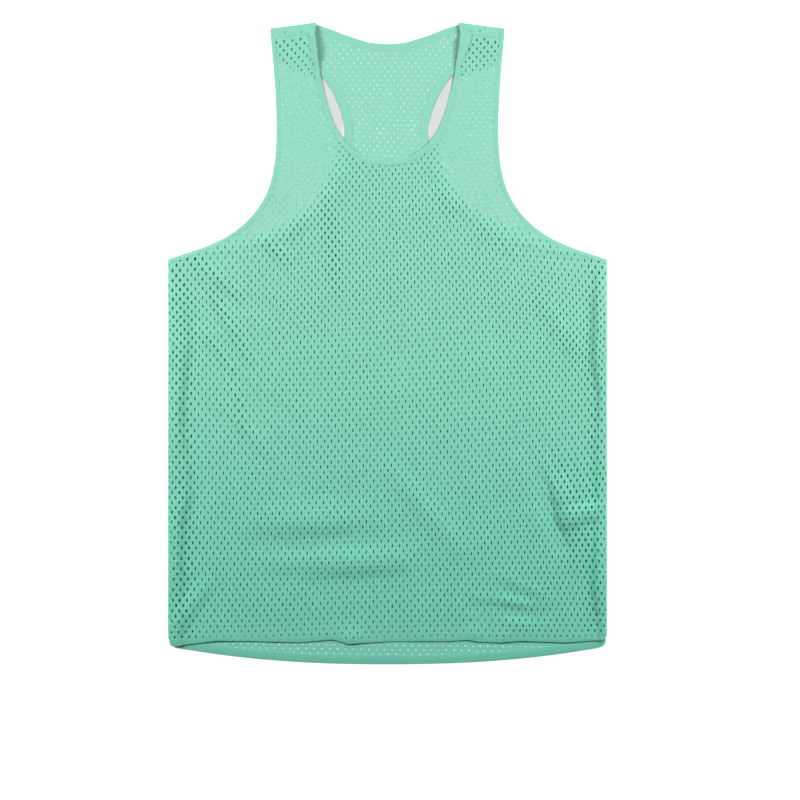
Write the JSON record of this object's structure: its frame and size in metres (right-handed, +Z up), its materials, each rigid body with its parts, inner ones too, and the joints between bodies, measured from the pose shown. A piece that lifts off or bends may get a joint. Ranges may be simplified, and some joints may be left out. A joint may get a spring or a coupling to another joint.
{
  "type": "running singlet",
  "caption": "Racerback running singlet in porthole-mesh knit with bound neck and armholes, laid flat with its front up.",
  "frame": {"origin": "on the table, under the middle of the garment's outline", "axes": "+Y towards the neck, +X to the right of someone looking down on the front, +Z up out of the front"},
  "size_m": [0.4911, 0.7159, 0.0123],
  "materials": {
    "mesh": "matt open mesh knit",
    "binding": "matt plain knit"
  },
  "bodies": {
    "root": {"front": "mesh", "back": "mesh", "neck_binding": "binding", "left_armhole_binding": "binding", "right_armhole_binding": "binding"}
  },
  "joints": []
}
